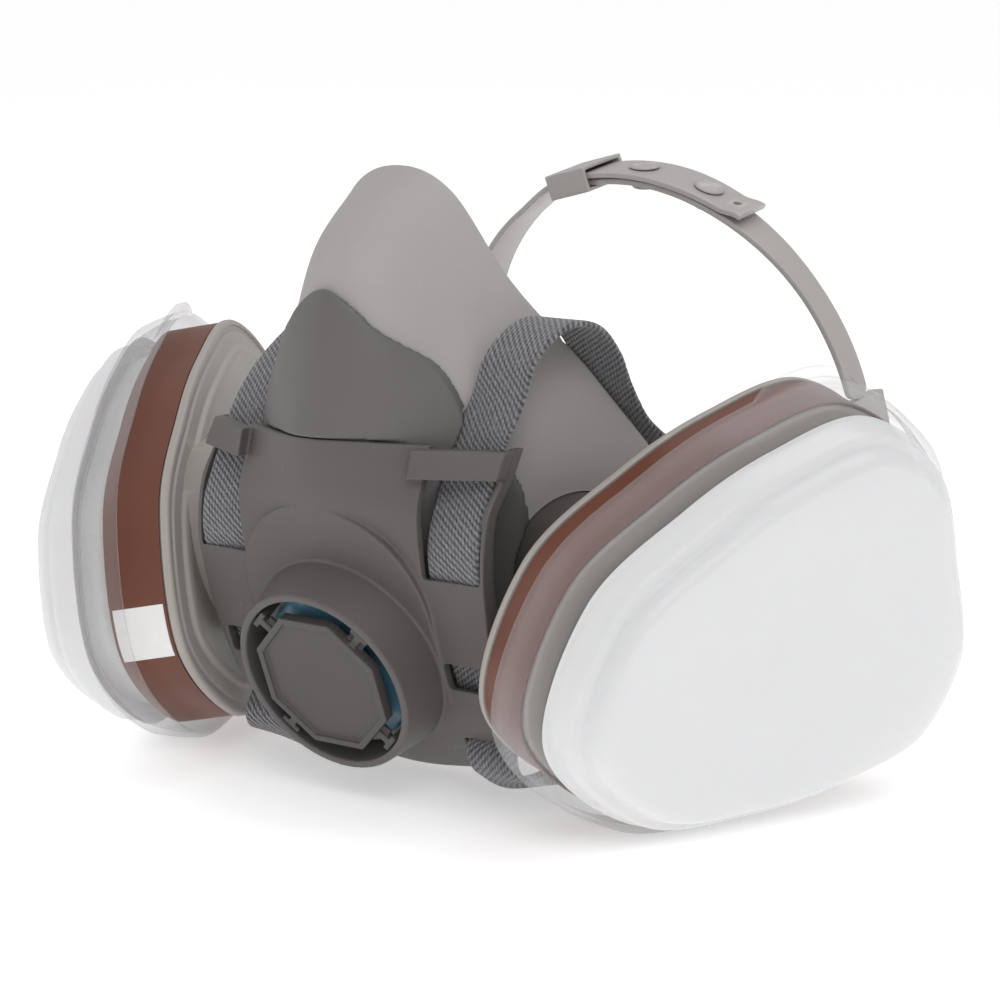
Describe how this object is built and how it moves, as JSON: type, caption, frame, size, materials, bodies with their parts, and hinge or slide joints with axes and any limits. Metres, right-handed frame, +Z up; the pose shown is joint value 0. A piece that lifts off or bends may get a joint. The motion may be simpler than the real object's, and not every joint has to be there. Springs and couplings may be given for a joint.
{
  "type": "respirator",
  "caption": "Reusable half-mask respirator with side bayonet gas cartridges, clear prefilter retainers, a guarded exhalation valve, elastic webbing and a head cradle.",
  "frame": {"origin": "centre of the object's bounding box at its bottom, the level the mask lies on", "axes": "+Z up, -Y out of the front of the mask, +Y towards the wearer's face, +X towards the wearer's left; the mask mirrors across X = 0"},
  "size_m": [0.2428, 0.164, 0.1461],
  "materials": {
    "elastomer_grey": "matt moulded thermoplastic elastomer",
    "casing_grey": "fine moulded texture, warm dark grey",
    "tan_grey_plastic": "satin moulded plastic",
    "blue_silicone": "glossy silicone",
    "black_rubber": "matt",
    "white_silicone": "soft satin silicone",
    "charcoal": "granular activated carbon",
    "brown_label": "semi-gloss printed band",
    "clear_plastic": "clear moulded plastic, frosted cap",
    "white_fleece": "filter fleece",
    "grey_webbing": "heather grey twill elastic",
    "band_grey": "satin moulded plastic"
  },
  "bodies": {
    "mask": {"facepiece": "elastomer_grey", "body_shell": "casing_grey", "front_casing": "casing_grey", "exhalation_valve_seat": "tan_grey_plastic", "bayonet_port_left": "casing_grey", "port_gasket_left": "black_rubber", "upper_strap_left": "grey_webbing", "lower_strap_left": "grey_webbing", "bayonet_port_right": "casing_grey", "port_gasket_right": "black_rubber", "upper_strap_right": "grey_webbing", "lower_strap_right": "grey_webbing", "neck_clasp_loop": "casing_grey", "neck_clasp_hook": "casing_grey"},
    "guard": {"valve_guard": "casing_grey"},
    "exhalation_disc": {"exhalation_flap": "blue_silicone"},
    "inhalation_disc_left": {"inhalation_flap_left": "white_silicone"},
    "cartridge_left": {"cartridge_base_left": "tan_grey_plastic", "cartridge_canister_left": "tan_grey_plastic", "sorbent_bed_left": "charcoal", "label_band_left": "brown_label"},
    "retainer_left": {"prefilter_retainer_left": "clear_plastic", "prefilter_pad_left": "white_fleece"},
    "inhalation_disc_right": {"inhalation_flap_right": "white_silicone"},
    "cartridge_right": {"cartridge_base_right": "tan_grey_plastic", "cartridge_canister_right": "tan_grey_plastic", "sorbent_bed_right": "charcoal", "label_band_right": "brown_label"},
    "retainer_right": {"prefilter_retainer_right": "clear_plastic", "prefilter_pad_right": "white_fleece"},
    "head_cradle": {"cradle_band_left": "band_grey", "cradle_band_right": "band_grey", "cradle_stud_1": "band_grey", "cradle_stud_2": "band_grey", "cradle_keeper": "band_grey", "cradle_buckle_left": "band_grey", "cradle_buckle_right": "band_grey", "upper_strap_end_left": "grey_webbing", "upper_strap_end_right": "grey_webbing"}
  },
  "joints": [
    {"name": "guard_pull_off", "type": "slide", "parent": "mask", "child": "guard", "axis": [0, -0.9282, -0.3722], "range_m": [0, 0.012]},
    {"name": "exhalation_lift", "type": "slide", "parent": "mask", "child": "exhalation_disc", "axis": [0, -0.9282, -0.3722], "range_m": [0, 0.0015], "stiffness_N_per_m": 60, "springref_m": -0.0006},
    {"name": "inhalation_lift_left", "type": "slide", "parent": "mask", "child": "inhalation_disc_left", "axis": [-0.9117, 0.3647, 0.1891], "range_m": [0, 0.0015], "stiffness_N_per_m": 40, "springref_m": -0.0004},
    {"name": "bayonet_left", "type": "hinge", "parent": "mask", "child": "cartridge_left", "pos_m": [0.05862, -0.0374, 0.05281], "axis": [0.9117, -0.3647, -0.1891], "range_deg": [0, 30]},
    {"name": "retainer_pull_off_left", "type": "slide", "parent": "cartridge_left", "child": "retainer_left", "axis": [0.9117, -0.3647, -0.1891], "range_m": [0, 0.03]},
    {"name": "inhalation_lift_right", "type": "slide", "parent": "mask", "child": "inhalation_disc_right", "axis": [0.9117, 0.3647, 0.1891], "range_m": [0, 0.0015], "stiffness_N_per_m": 40, "springref_m": -0.0004},
    {"name": "bayonet_right", "type": "hinge", "parent": "mask", "child": "cartridge_right", "pos_m": [-0.05862, -0.0374, 0.05281], "axis": [0.9117, 0.3647, 0.1891], "range_deg": [0, 30]},
    {"name": "retainer_pull_off_right", "type": "slide", "parent": "cartridge_right", "child": "retainer_right", "axis": [-0.9117, -0.3647, -0.1891], "range_m": [0, 0.03]},
    {"name": "cradle_swing", "type": "hinge", "parent": "mask", "child": "head_cradle", "pos_m": [0, 0.05406, 0.07025], "axis": [1, 0, 0], "range_deg": [-20, 20]}
  ]
}
